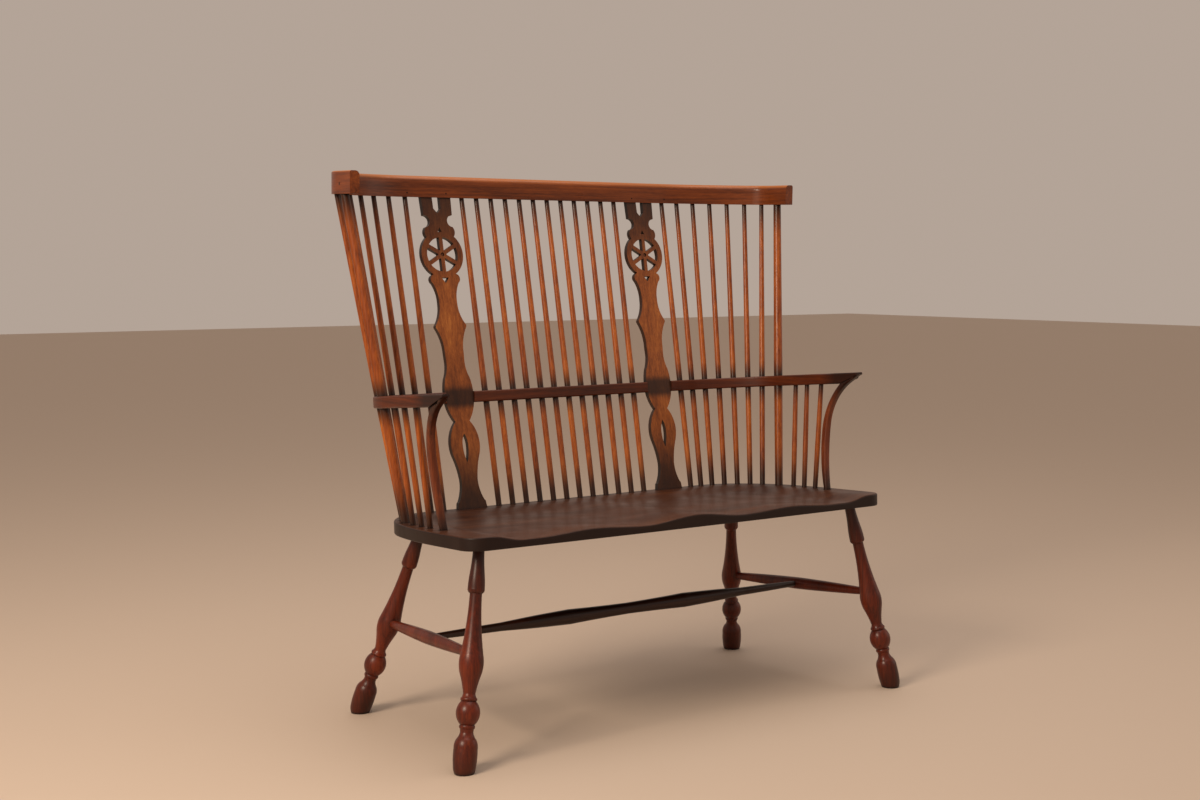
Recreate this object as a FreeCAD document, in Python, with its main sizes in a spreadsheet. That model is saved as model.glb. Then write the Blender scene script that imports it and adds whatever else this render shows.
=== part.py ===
"""Deacons bench: a joined settee with a plank seat, turned legs and a high stick back.

Every piece of wood is its own solid. The seat is bored for the legs, sticks, posts, arm supports
and splats, the arm bow is threaded over the sticks, and the bent comb caps them. Millimetres, +Z
up, the bench faces -Y, and the origin is on the floor under the middle of the bench.
"""
import FreeCAD, Part
import math
import os
import Sketcher

from FreeCAD import Placement, Rotation, Vector

# Driving dimensions, in millimetres and degrees
# Depths are counted backwards from midway between the front and the rear feet
SIZES = {
    "footprint_middle": 35.8,
    # Seat plank, its outline and its saddle
    "seat_height": 443.0,
    "seat_reference": -91.0,
    "seat_tilt": 2.29,
    "seat_thickness": 27.0,
    "seat_allowance": 6.0,
    "seat_front": -256.0,
    "seat_front_bow": 6.0,
    "seat_corner_radius": 42.0,
    "seat_margin": 18.0,
    "seat_flare_radius": 783.0,
    "seat_flare_angle": 12.0,
    "seat_top_arris": 3.5,
    "seat_bottom_arris": 2.5,
    "saddle_hip_depth": 11.5,
    "saddle_pommel_depth": 5.0,
    "saddle_margin": 25.0,
    "saddle_slope": 70.0,
    # Line of the stick holes in the seat, from the middle of the back round to the arm
    "seat_back": 199.0,
    "seat_straight": 375.4,
    "seat_bend_one": 114.3,
    "seat_bend_one_angle": 45.25,
    "seat_bend_two": 217.5,
    "seat_bend_two_angle": 43.25,
    # Arm bow
    "bow_height": 720.5,
    "bow_reference": -171.0,
    "bow_tilt": 4.69,
    "bow_end": -164.0,
    "bow_thickness": 25.0,
    "bow_width": 25.0,
    "bow_tip_width": 17.0,
    "bow_back": 249.0,
    "bow_straight": 364.1,
    "bow_bend_one": 184.1,
    "bow_bend_one_angle": 53.4,
    "bow_bend_two": 161.6,
    "bow_bend_two_angle": 35.1,
    "bow_arris": 3.5,
    # Comb
    "comb_height": 1116.3,
    "comb_back": 336.9,
    "comb_tilt": -1.31,
    "comb_depth": 47.0,
    "comb_thickness": 22.0,
    "comb_straight": 349.5,
    "comb_bend_one": 299.5,
    "comb_bend_one_angle": 47.5,
    "comb_bend_two": 73.2,
    "comb_bend_two_angle": 42.5,
    "comb_end": 128.0,
    "comb_middle_round": 14.0,
    "comb_end_round": 9.5,
    "comb_rear_round": 4.0,
    # Places of the sticks, counted along the seat line and along the comb from the middle
    "middle_pitch_seat": 36.84,
    "middle_pitch_comb": 38.6,
    "side_first_seat": 344.7,
    "side_pitch_seat": 31.5,
    "post_gap_seat": 44.7,
    "side_first_comb": 358.1,
    "side_pitch_comb": 43.6,
    "post_gap_comb": 51.5,
    # Depths of the three short sticks under each arm, at the seat and at the bow
    "short_foot_rear": 24.0,
    "short_foot_middle": -12.4,
    "short_foot_front": -49.0,
    "short_head_rear": 47.5,
    "short_head_middle": 9.0,
    "short_head_front": -38.6,
    # Sticks and posts
    "stick_foot_radius": 6.2,
    "stick_belly_radius": 6.9,
    "stick_head_radius": 5.2,
    "short_foot_radius": 5.6,
    "short_belly_radius": 6.2,
    "short_head_radius": 5.3,
    "post_foot_radius": 9.2,
    "post_belly_radius": 10.4,
    "post_head_radius": 9.0,
    "belly_place": 0.42,
    "seat_hole_depth": 17.0,
    "bow_hole_depth": 16.0,
    "comb_hole_depth": 24.0,
    # Splats
    "splat_seat_place": 274.8,
    "splat_comb_place": 283.9,
    "splat_thickness": 11.0,
    "splat_forward": 2.5,
    "splat_notch": 8.0,
    "wheel_centre": 568.0,
    "wheel_radius": 53.0,
    "wheel_inner_radius": 39.0,
    "wheel_hub_radius": 10.5,
    "wheel_spoke_width": 9.0,
    "wheel_dimple_radius": 4.5,
    "wheel_dimple_depth": 2.5,
    # Arm supports, sawn from board
    "support_thickness": 16.0,
    "support_foot_place": 518.5,
    "support_tip_place": 551.2,
    "support_bow": 4.5,
    "support_tenon": 16.0,
    "support_reach": 1300.0,
    # Legs: where the axis meets the floor and the underside of the seat
    "leg_front_foot_x": 571.5,
    "leg_front_foot_y": -256.7,
    "leg_front_head_x": 494.6,
    "leg_front_head_y": -190.9,
    "leg_rear_foot_x": 526.7,
    "leg_rear_foot_y": 258.0,
    "leg_rear_head_x": 429.7,
    "leg_rear_head_y": 149.2,
    # Turning of the legs: heights along the axis, from a little below the floor
    "leg_allowance": 6.0,
    "leg_toe_radius": 15.0,
    "leg_foot_height": 18.0,
    "leg_foot_radius": 22.2,
    "leg_boot_height": 53.0,
    "leg_boot_radius": 23.3,
    "leg_shoulder_height": 71.0,
    "leg_shoulder_radius": 19.2,
    "leg_ankle_height": 83.5,
    "leg_ankle_radius": 12.9,
    "leg_ring_height": 90.0,
    "leg_ring_radius": 13.4,
    "leg_ball_height": 98.0,
    "leg_ball_radius": 14.0,
    "leg_collar_height": 143.0,
    "leg_collar_radius": 14.5,
    "leg_cove_height": 150.0,
    "leg_cove_radius": 14.5,
    "leg_neck_height": 157.5,
    "leg_neck_radius": 12.0,
    "leg_vase_height": 191.0,
    "leg_vase_radius": 20.0,
    "leg_hip_height": 232.0,
    "leg_hip_radius": 22.3,
    "leg_throat_height": 344.0,
    "leg_throat_radius": 12.0,
    "leg_groove_height": 348.5,
    "leg_groove_radius": 12.0,
    "leg_bead_height": 358.0,
    "leg_bead_radius": 16.7,
    "leg_taper_height": 388.0,
    "leg_taper_radius": 14.6,
    "leg_crown_height": 428.0,
    "leg_crown_radius": 11.5,
    "leg_tenon_height": 457.0,
    "leg_tenon_radius": 10.6,
    # Stretchers
    "stretcher_front_height": 220.0,
    "stretcher_rear_height": 200.0,
    "stretcher_gap": 3.0,
    "stretcher_end_radius": 7.5,
    "stretcher_belly_radius": 14.0,
    "crossbar_tip_radius": 6.3,
    "crossbar_neck_radius": 9.2,
    "crossbar_swell_radius": 16.4,
    "crossbar_waist_radius": 12.4,
    "crossbar_neck_place": 330.0,
    "crossbar_swell_place": 157.0,
    "crossbar_joint_depth": 9.0,
    # Nails that fix the comb
    "pin_radius": 1.75,
    "pin_length": 14.0,
    "pin_rise": 9.0,
    "pin_head": 0.4,
    "pin_splat_place": 259.0,
}

MIDDLE_STICKS_A_HALF = 6
SIDE_STICKS = 7
SHORT_STICKS = ("rear", "middle", "front")
SIDES = {"left": -1, "right": 1}
UP = Vector(0, 0, 1)

doc = FreeCAD.newDocument("deacons_bench")
sheet = doc.addObject("Spreadsheet::Sheet", "Sizes")
for row, (alias, number) in enumerate(SIZES.items(), start=1):
    sheet.set(f"A{row}", alias)
    sheet.set(f"B{row}", str(number))
    sheet.setAlias(f"B{row}", alias)
doc.recompute()
nodes = []


def size(alias):
    """The number in the sheet's cell of that name."""
    return float(sheet.get(alias))


def cell(alias):
    """The expression that reads the sheet's cell of that name."""
    return f"Sizes.{alias}"


def depth(alias):
    """A depth of the sheet as a Y of the bench's frame."""
    return size(alias) - size("footprint_middle")


def node(thing, name):
    """Names a finished sub-part and puts it on the list of those to write."""
    thing.Label = name
    nodes.append(thing)
    return thing


# Tilted planes that the seat, the arm bow and the comb lie in

def tilted_plane(height, reference, tilt):
    """A frame with the bench's X, tilted down towards the back by the tilt in degrees."""
    base = Vector(0, depth(reference), size(height))
    return Placement(base, Rotation(Vector(1, 0, 0), -size(tilt)))


def on_plane(frame, point, below=0.0):
    """The point of the plane over or under a point, or of a parallel plane that far below it."""
    normal = frame.Rotation.multVec(UP)
    base = frame.Base - normal * below
    rise = -(normal.x * (point.x - base.x) + normal.y * (point.y - base.y)) / normal.z
    return Vector(point.x, point.y, base.z + rise)


SEAT = tilted_plane("seat_height", "seat_reference", "seat_tilt")
BOW = tilted_plane("bow_height", "bow_reference", "bow_tilt")
COMB = tilted_plane("comb_height", "comb_back", "comb_tilt")


# Bent lines in plan, as steps that are lines (two points) or arcs (three points)

def mid_arc(start, end, bulge):
    """The middle point of an arc that swells to the right of the way from start to end."""
    way = end - start
    return (start + end) / 2 + Vector(way.y, -way.x, 0).normalize() * bulge


def trail(prefix, offset=0.0, turns=None):
    """The right half of a bent line, from the middle of the back, shifted outwards by an offset.

    It runs straight along X and then turns forward through arcs, given as (radius alias, degrees)
    or else the line's own two. Each step is (its points, the expression of its radius).
    """
    out, heading = Vector(0, 1, 0), 0.0
    start = Vector(0, depth(f"{prefix}_back"), 0)
    place = start + Vector(size(f"{prefix}_straight"), 0, 0)
    steps = [([start + out * offset, place + out * offset], None)]
    bends = [f"{prefix}_bend_one", f"{prefix}_bend_two"]
    for radius_alias, degrees in turns or [(bend, size(f"{bend}_angle")) for bend in bends]:
        radius, turn = size(radius_alias), math.radians(degrees)
        centre = place - out * radius
        headings = [heading, heading + turn / 2, heading + turn]
        outs = [Vector(math.sin(angle), math.cos(angle), 0) for angle in headings]
        steps.append(([centre + way * (radius + offset) for way in outs],
                      f"{cell(radius_alias)} + {offset}"))
        heading, out = headings[-1], outs[-1]
        place = centre + out * radius
    return steps


def tail(steps, end_y, side_step=0.0):
    """The step that carries a trail on to a depth, straight or eased outwards by a side step."""
    points = steps[-1][0]
    place = points[-1]
    out = (place - Part.Arc(*points).toShape().Curve.Center).normalize()
    ahead = Vector(out.y, -out.x, 0)
    reach = (end_y - place.y) / ahead.y
    end = place + ahead * reach + out * side_step
    if side_step == 0:
        return line(place, end)
    return ([place, place + ahead * (reach / 2) + out * (side_step / 4), end], None)


def mirrored(steps):
    """The steps on the other side of the bench, walked the other way."""
    return [([Vector(-p.x, p.y, p.z) for p in reversed(points)], text)
            for points, text in reversed(steps)]


def backwards(steps):
    return [(list(reversed(points)), text) for points, text in reversed(steps)]


def line(start, end):
    return ([start, end], None)


def polyline(steps, gap=4.0):
    """Points along steps, about a gap apart, for measuring along them."""
    points = []
    for ends, _ in steps:
        curve = Part.Arc(*ends) if len(ends) == 3 else Part.LineSegment(*ends)
        found = curve.toShape().discretize(Distance=gap)
        if found[0].distanceToPoint(ends[0]) > found[-1].distanceToPoint(ends[0]):
            found.reverse()
        points += found if not points else found[1:]
    return points


def point_along(points, distance):
    """The point that far along a row of points."""
    for start, end in zip(points, points[1:]):
        length = start.distanceToPoint(end)
        if distance <= length:
            return start + (end - start) * (distance / length)
        distance -= length
    return points[-1]


def point_at_depth(points, y):
    """The point of a row of points, running forward, where it crosses a depth."""
    for start, end in zip(points, points[1:]):
        if start.y >= y > end.y:
            return start + (end - start) * ((start.y - y) / (start.y - end.y))
    return points[-1]


# Bodies and sketches

def body(name, placement=Placement()):
    made = doc.addObject("PartDesign::Body", name)
    made.Placement = placement
    return made


def sketch_on(owner, role, name):
    """A sketch on one of the body's own origin planes."""
    made = owner.newObject("Sketcher::SketchObject", name)
    plane = [item for item in owner.Origin.OriginFeatures if item.Role == role][0]
    made.AttachmentSupport = [(plane, "")]
    made.MapMode = "FlatFace"
    return made


def end_position(sketch, geometry, point):
    """1 or 2, for the end of a sketched line or arc that lies at the point."""
    return 1 if sketch.getPoint(geometry, 1).distanceToPoint(point) < 1e-4 else 2


def draw(sketch, steps):
    """Draws a closed outline of steps, joins its ends and binds the radii that have a cell."""
    drawn = []
    for points, text in steps:
        curve = Part.Arc(*points) if len(points) == 3 else Part.LineSegment(*points)
        index = sketch.addGeometry(curve, False)
        drawn.append((index, end_position(sketch, index, points[0]), text))
    for (index, start, text), (following, its_start, _) in zip(drawn, drawn[1:] + drawn[:1]):
        sketch.addConstraint(Sketcher.Constraint("Coincident", index, 3 - start, following, its_start))
    for index, _, text in drawn:
        if text:
            radius = sketch.Geometry[index].Radius
            rule = sketch.addConstraint(Sketcher.Constraint("Radius", index, radius))
            sketch.setExpression(f"Constraints[{rule}]", text)


def pad(owner, sketch, length, middle=False, down=False):
    made = owner.newObject("PartDesign::Pad", sketch.Name + "_pad")
    made.Profile = sketch
    made.setExpression("Length", length)
    made.Midplane = middle
    made.Reversed = down
    return made


def pocket_through(owner, sketch):
    made = owner.newObject("PartDesign::Pocket", sketch.Name + "_pocket")
    made.Profile = sketch
    made.Type = "ThroughAll"
    made.Midplane = True
    return made


def round_edges(owner, radius_alias, chosen):
    """Rounds the body's edges that the test chooses, with a radius bound to the sheet."""
    doc.recompute()
    base = owner.Tip
    names = [f"Edge{i}" for i, edge in enumerate(base.Shape.Edges, start=1) if chosen(edge)]
    made = owner.newObject("PartDesign::Fillet", owner.Name + "_round")
    made.Base = (base, names)
    made.setExpression("Radius", cell(radius_alias))
    return made


def level(edge, z):
    """Whether an edge lies wholly at a height of its body."""
    return all(abs(vertex.Z - z) < 1e-3 for vertex in edge.Vertexes)


def turned(name, placement, stations):
    """A turning about its own Z, from stations (height, radius, bulge since the station before).

    Heights and radii are sheet aliases, or (number, text) pairs where they are worked out.
    """
    def read(entry):
        return (size(entry), cell(entry)) if isinstance(entry, str) else entry

    owner = body(name, placement)
    sketch = sketch_on(owner, "XZ_Plane", name + "_profile")
    places = [Vector(read(radius)[0], read(height)[0], 0) for height, radius, _ in stations]
    steps = [line(Vector(0, places[0].y, 0), places[0])]
    for start, end, (_, _, bulge) in zip(places, places[1:], stations[1:]):
        points = [start, mid_arc(start, end, bulge), end] if bulge else [start, end]
        steps.append((points, None))
    steps.append(line(places[-1], Vector(0, places[-1].y, 0)))
    steps.append(line(Vector(0, places[-1].y, 0), Vector(0, places[0].y, 0)))
    draw(sketch, steps)
    axis = len(steps) - 1
    sketch.addConstraint(Sketcher.Constraint("PointOnObject", axis, 1, -2))
    sketch.addConstraint(Sketcher.Constraint("PointOnObject", axis, 2, -2))
    for index, ((height, radius, _), place) in enumerate(zip(stations, places)):
        position = 3 - end_position(sketch, index, steps[index][0][0])
        for kind, (number, text) in (("DistanceX", read(radius)), ("DistanceY", read(height))):
            if number > 0:
                rule = sketch.addConstraint(Sketcher.Constraint(kind, -1, 1, index, position, number))
                sketch.setExpression(f"Constraints[{rule}]", text)
    turning = owner.newObject("PartDesign::Revolution", name + "_turning")
    turning.Profile = sketch
    turning.ReferenceAxis = (sketch, ["V_Axis"])
    turning.Angle = 360
    return owner


def along(start, end):
    """A placement at start whose Z points at end."""
    return Placement(start, Rotation(UP, end - start))


def carved(base, tools, name):
    """The base with the tools' shapes cut out of it, as one object."""
    group = doc.addObject("Part::Compound", name + "_cutters")
    group.Links = tools
    cut = doc.addObject("Part::Cut", name + "_cut")
    cut.Base = base
    cut.Tool = group
    return cut


# Lines that the sticks follow: on the seat, the arm bow and the comb

FRONT = depth("bow_end")
seat_steps = trail("seat")
seat_line = polyline(seat_steps + [tail(seat_steps, depth("seat_front"))])
bow_steps = trail("bow")
bow_line = polyline(bow_steps + [tail(bow_steps, FRONT)])
comb_steps = trail("comb")
comb_line = polyline(comb_steps + [tail(comb_steps, depth("comb_end"))])


def on_side(point, side):
    return Vector(point.x * SIDES[side], point.y, point.z)


# Sticks and posts: one long turning each, from its seat hole, through the bow, into the comb

def stick(name, kind, foot, head, foot_depth, head_depth):
    """A stick between two points of the surfaces that it enters, and its depths in them."""
    way = (head - foot).normalize()
    start = foot - way * foot_depth
    length = foot_depth + (head - foot).Length + head_depth
    belly = length * size("belly_place")
    stations = [((0.0, "0"), f"{kind}_foot_radius", 0),
                ((belly, f"{length} * {cell('belly_place')}"), f"{kind}_belly_radius", 0),
                ((length, str(length)), f"{kind}_head_radius", 0)]
    return turned(name, along(start, head), stations)


def back_stick(name, kind, side, seat_place, comb_place):
    """A stick of the back, by its distances along the seat line and the comb."""
    foot = on_plane(SEAT, on_side(point_along(seat_line, seat_place), side))
    head = on_plane(COMB, on_side(point_along(comb_line, comb_place), side))
    return stick(name, kind, foot, head, size("seat_hole_depth"), size("comb_hole_depth"))


middle_sticks = []
for number in range(2 * MIDDLE_STICKS_A_HALF):
    place = number - MIDDLE_STICKS_A_HALF + 0.5
    middle_sticks.append(back_stick(f"spindle_middle_{number + 1:02d}", "stick",
                                    "left" if place < 0 else "right",
                                    abs(place) * size("middle_pitch_seat"),
                                    abs(place) * size("middle_pitch_comb")))
    node(middle_sticks[-1], middle_sticks[-1].Name)

first_side_sticks, side_sticks, posts, short_sticks = {}, [], [], []
for side in SIDES:
    for number in range(SIDE_STICKS):
        seat_place = size("side_first_seat") + number * size("side_pitch_seat")
        comb_place = size("side_first_comb") + number * size("side_pitch_comb")
        name = f"spindle_{side}_{number + 1}"
        if number == 0:
            first_side_sticks[side] = back_stick(name + "_blank", "stick", side,
                                                 seat_place, comb_place)
        else:
            side_sticks.append(node(back_stick(name, "stick", side, seat_place, comb_place), name))
    post = back_stick(f"post_{side}", "post", side, seat_place + size("post_gap_seat"),
                      comb_place + size("post_gap_comb"))
    posts.append(node(post, post.Name))
    for number, where in enumerate(SHORT_STICKS, start=1):
        foot = on_plane(SEAT, on_side(point_at_depth(seat_line, depth(f"short_foot_{where}")), side))
        head = on_side(point_at_depth(bow_line, depth(f"short_head_{where}")), side)
        head = on_plane(BOW, head, size("bow_thickness"))
        name = f"short_spindle_{side}_{number}"
        short_sticks.append(node(stick(name, "short", foot, head, size("seat_hole_depth"),
                                       size("bow_hole_depth")), name))


# Splats: fretted boards with a vase, a knuckle, a six-spoked wheel and two prongs

SPLAT_FOOT = -17.0
SPLAT_TOP = 719.0
# Right-hand edge from the foot up, as points (half width, height along the board); a step with a
# middle point is an arc through it
SPLAT_EDGE = [
    [(36.8, SPLAT_FOOT), (36.8, 0)],
    [(36.8, 0), (34.5, 14)],
    [(34.5, 14), (31.5, 17)],
    [(31.5, 17), (23.5, 38), (20.6, 63)],
    [(20.6, 63), (23.5, 84), (31, 112)],
    [(31, 112), (37, 146), (17.9, 193)],
    [(17.9, 193), (31.5, 219), (36.5, 250)],
    [(36.5, 250), (35.5, 270), (31.5, 289)],
    [(31.5, 289), (24.8, 309), (23.4, 331)],
    [(23.4, 331), (24, 345)],
    [(24, 345), (28.5, 380), (39.2, 404)],
    [(39.2, 404), (39.2, 408)],
    [(39.2, 408), (28, 428), (23, 452)],
    [(23, 452), (22.8, 460)],
    [(22.8, 460), (26.1, 487), (33, 503)],
    [(33, 503), (37.6, 513), (28.7, 523.4)],
]
SPLAT_HEAD = [
    [(35, 607.8), (38.8, 619), (34.5, 630)],
    [(34.5, 630), (22.2, 643), (36.5, 657)],
    [(36.5, 657), (38.7, SPLAT_TOP)],
    [(38.7, SPLAT_TOP), (10.5, SPLAT_TOP)],
    [(10.5, SPLAT_TOP), (9.5, 672)],
    [(9.5, 672), (0, 661)],
]
SPLAT_FRETS = [
    [[(0, 629), (-5, 619)], [(-5, 619), (5, 619)], [(5, 619), (0, 629)]],
    [[(0, 503), (-9, 515.5)], [(-9, 515.5), (9, 515.5)], [(9, 515.5), (0, 503)]],
    [[(0, 166), (4.6, 156), (7, 143)], [(7, 143), (5.2, 119), (0, 101)],
     [(0, 101), (-5.2, 119), (-7, 143)], [(-7, 143), (-4.6, 156), (0, 166)]],
]
SPOKES = 6
# Angles at which the wheel's rim leaves the board's edge and meets its head, in degrees
RIM_START, RIM_END = -57.2, 48.67


def flat(points):
    """A sketched step through points given as pairs."""
    return ([Vector(x, y, 0) for x, y in points], None)


def wheel_point(radius, angle):
    """A point of the wheel by its radius and its angle in degrees."""
    turn = math.radians(angle)
    return Vector(radius * math.cos(turn), size("wheel_centre") + radius * math.sin(turn), 0)


def splat_outline():
    """The whole outline of the board, up its right edge and down its left."""
    right = [flat(points) for points in SPLAT_EDGE]
    head = [flat(points) for points in SPLAT_HEAD]
    rim = [wheel_point(size("wheel_radius"), angle) for angle in (RIM_START, 0, RIM_END)]
    right[-1][0][-1] = rim[0]
    head[0][0][0] = rim[-1]
    right += [(rim, cell("wheel_radius"))] + head
    foot = Vector(SPLAT_EDGE[0][0][0], SPLAT_FOOT, 0)
    return right + mirrored(right) + [line(Vector(-foot.x, foot.y, 0), foot)]


def wheel_window(middle):
    """One window of the wheel, between two spokes, by the angle of its middle in degrees."""
    half_gap, half_spoke = 180 / SPOKES, size("wheel_spoke_width") / 2
    inner, outer = size("wheel_hub_radius"), size("wheel_inner_radius")
    inner_half = half_gap - math.degrees(math.asin(half_spoke / inner))
    outer_half = half_gap - math.degrees(math.asin(half_spoke / outer))
    near = [wheel_point(inner, middle + share * inner_half) for share in (1, 0, -1)]
    far = [wheel_point(outer, middle + share * outer_half) for share in (-1, 0, 1)]
    return [(near, cell("wheel_hub_radius")), line(near[-1], far[0]),
            (far, cell("wheel_inner_radius")), line(far[-1], near[0])]


def splat_placement(side):
    """The board stands on the seat line, leans back with the sticks and faces forward."""
    foot = on_plane(SEAT, on_side(point_along(seat_line, size("splat_seat_place")), side))
    head = on_plane(COMB, on_side(point_along(comb_line, size("splat_comb_place")), side))
    up = (head - foot).normalize()
    rear = up.cross(Vector(1, 0, 0)).normalize()
    turn = Rotation(rear.cross(up), rear, up, "ZYX")
    return Placement(foot - rear * size("splat_forward"), turn)


def splat_board(name, placement, thickness):
    """A plain board of the splat's outline."""
    owner = body(name, placement)
    outline = sketch_on(owner, "XZ_Plane", f"{name}_outline")
    draw(outline, splat_outline())
    pad(owner, outline, thickness, middle=True)
    doc.recompute()
    return owner


def make_splat(side):
    owner = splat_board(f"splat_{side}_blank", splat_placement(side), cell("splat_thickness"))
    windows = sketch_on(owner, "XZ_Plane", f"splat_{side}_wheel")
    for window in range(SPOKES):
        draw(windows, wheel_window(window * 360 / SPOKES))
    pocket_through(owner, windows)
    frets = sketch_on(owner, "XZ_Plane", f"splat_{side}_frets")
    for fret in SPLAT_FRETS:
        draw(frets, [flat(points) for points in fret])
    pocket_through(owner, frets)
    dimple = sketch_on(owner, "XZ_Plane", f"splat_{side}_dimple")
    dimple.AttachmentOffset = Placement(Vector(0, 0, size("splat_thickness") / 2), Rotation())
    dimple.addGeometry(Part.Circle(wheel_point(0, 0), UP, size("wheel_dimple_radius")), False)
    rule = dimple.addConstraint(Sketcher.Constraint("Radius", 0, size("wheel_dimple_radius")))
    dimple.setExpression(f"Constraints[{rule}]", cell("wheel_dimple_radius"))
    hollow = owner.newObject("PartDesign::Pocket", f"splat_{side}_dimple_pocket")
    hollow.Profile = dimple
    hollow.setExpression("Length", cell("wheel_dimple_depth"))
    return owner


splats = {side: make_splat(side) for side in SIDES}

# Thicker boards of the same outline, to notch the front of the bow with
notches = []
for side in SIDES:
    forward = Placement(Vector(0, -size("splat_notch") / 2, 0), Rotation())
    notches.append(splat_board(f"splat_{side}_notch", splat_placement(side) * forward,
                               f"{cell('splat_thickness')} + {cell('splat_notch')}"))


# Arm supports: sawn to one curve seen from the side and to another seen from the front

# Corners of the side view, as (depth, height over the floor)
SUPPORT_FOOT_FRONT, SUPPORT_FOOT_REAR = (-99.5, 447.0), (-88.5, 447.0)
SUPPORT_WAIST_FRONT, SUPPORT_WAIST_REAR = (-83.0, 597.0), (-67.5, 585.0)
SUPPORT_CHIN, SUPPORT_SCARF, SUPPORT_TIP = (-129.0, 690.5), (-107.5, 690.6), (-165.0, 715.5)
SCARF_BLOCK = Vector(80, 140, 60)


def side_point(place):
    return Vector(place[0] - size("footprint_middle"), place[1], 0)


def upright_arc(waist, end):
    """An arc that stands upright at the waist, bends forward and passes the end."""
    reach = end - waist
    radius = (reach.x ** 2 + reach.y ** 2) / (2 * abs(reach.x))
    centre = waist - Vector(radius, 0, 0)
    half_turn = math.atan2(reach.y, radius - abs(reach.x)) / 2
    middle = centre + Vector(math.cos(half_turn), math.sin(half_turn), 0) * radius
    return [waist, middle, end]


def support_side_view():
    front_foot, rear_foot = side_point(SUPPORT_FOOT_FRONT), side_point(SUPPORT_FOOT_REAR)
    front_waist, rear_waist = side_point(SUPPORT_WAIST_FRONT), side_point(SUPPORT_WAIST_REAR)
    chin, tip = side_point(SUPPORT_CHIN), side_point(SUPPORT_TIP)
    scarf = side_point(SUPPORT_SCARF)
    root = size("seat_height") - size("support_tenon")
    front_root, rear_root = Vector(front_foot.x, root, 0), Vector(rear_foot.x, root, 0)
    return [
        line(front_root, rear_root),
        line(rear_root, rear_foot),
        (list(reversed(upright_arc(rear_waist, rear_foot))), None),
        (upright_arc(rear_waist, scarf), None),
        line(scarf, tip),
        line(tip, chin),
        (list(reversed(upright_arc(front_waist, chin))), None),
        (upright_arc(front_waist, front_foot), None),
        line(front_foot, front_root),
    ]


def support_front_view(side):
    """A bowed band from under the seat's top to over the arm, leaning outwards."""
    half = size("support_thickness") / 2
    foot = Vector(size("support_foot_place"), size("seat_height"), 0)
    tip = Vector(size("support_tip_place"), SUPPORT_TIP[1], 0)
    way = (tip - foot).normalize()
    foot = foot - way * (size("support_tenon") + half)
    tip = tip + way * half
    across = Vector(way.y, -way.x, 0) * half
    bow = -size("support_bow")
    outer = [foot + across, mid_arc(foot + across, tip + across, bow), tip + across]
    inner = [tip - across, mid_arc(foot - across, tip - across, bow), foot - across]
    steps = [(outer, None), line(outer[-1], inner[0]), (inner, None), line(inner[-1], outer[0])]
    return steps if side == "right" else mirrored(steps)


def make_support(side):
    name = f"arm_support_{side}"
    views = []
    for role, view in (("YZ_Plane", support_side_view()), ("XZ_Plane", support_front_view(side))):
        owner = body(f"{name}_{role[:2]}")
        sketch = sketch_on(owner, role, f"{name}_{role[:2]}_view")
        draw(sketch, view)
        pad(owner, sketch, cell("support_reach"), middle=True)
        views.append(owner)
    support = doc.addObject("Part::Common", name)
    support.Base, support.Tool = views
    return node(support, name)


# Block whose top face is the plane of the scarf, to cut the ends of the arms with
scarf_start, scarf_end = side_point(SUPPORT_SCARF), side_point(SUPPORT_TIP)
scarf_slope = math.degrees(math.atan2(scarf_end.y - scarf_start.y, scarf_start.x - scarf_end.x))
supports, scarf_blocks = {}, []
for side in SIDES:
    supports[side] = make_support(side)
    block = doc.addObject("Part::Box", f"scarf_block_{side}")
    block.Length, block.Width, block.Height = SCARF_BLOCK
    turn = Rotation(Vector(1, 0, 0), 180 - scarf_slope)
    corner = Vector(SIDES[side] * size("support_tip_place") - SCARF_BLOCK.x / 2,
                    scarf_start.x, scarf_start.y)
    overrun = turn.multVec(Vector(0, SCARF_BLOCK.y / 4, 0))
    block.Placement = Placement(corner - overrun, turn)
    scarf_blocks.append(block)


# Legs: four of one turning, splayed outwards, with their soles cut level

LEG_TURNING = [
    ("toe", 0), ("foot", 1.4), ("boot", 0.8), ("shoulder", 1.5), ("ankle", -0.9), ("ring", 0),
    ("ball", 1.8), ("collar", 9.2), ("cove", 2.0), ("neck", -0.5), ("vase", -0.6), ("hip", 2.9),
    ("throat", -2.2), ("groove", 0), ("bead", 1.8), ("taper", 0.5), ("crown", -0.5), ("tenon", 0),
]
GROUND = Vector(1600, 1000, 60)
legs, leg_frames = {}, {}
ground = doc.addObject("Part::Box", "ground")
ground.Length, ground.Width, ground.Height = GROUND
ground.Placement = Placement(Vector(-GROUND.x / 2, -GROUND.y / 2, -GROUND.z), Rotation())
for side in SIDES:
    for end in ("front", "rear"):
        foot = Vector(size(f"leg_{end}_foot_x"), depth(f"leg_{end}_foot_y"), 0)
        head = Vector(size(f"leg_{end}_head_x"), depth(f"leg_{end}_head_y"), 0)
        head = on_plane(SEAT, head, size("seat_thickness"))
        foot, head = on_side(foot, side), on_side(head, side)
        start = foot - (head - foot).normalize() * size("leg_allowance")
        stations = [(f"leg_{part}_height", f"leg_{part}_radius", bulge)
                    for part, bulge in LEG_TURNING[1:]]
        stations.insert(0, ((0.0, "0"), "leg_toe_radius", 0))
        legs[end, side] = turned(f"leg_{end}_{side}_blank", along(start, head), stations)
        leg_frames[end, side] = (foot, head)


def on_leg(end, side, height):
    """The point of a leg's axis at a height over the floor."""
    foot, head = leg_frames[end, side]
    return foot + (head - foot) * (height / head.z)


# Stretchers: one between the legs of each end, and one across between those

# How far a stretcher's outline bows out of its straight taper, as a share of its swelling
STRETCHER_FULLNESS = 0.16
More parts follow.
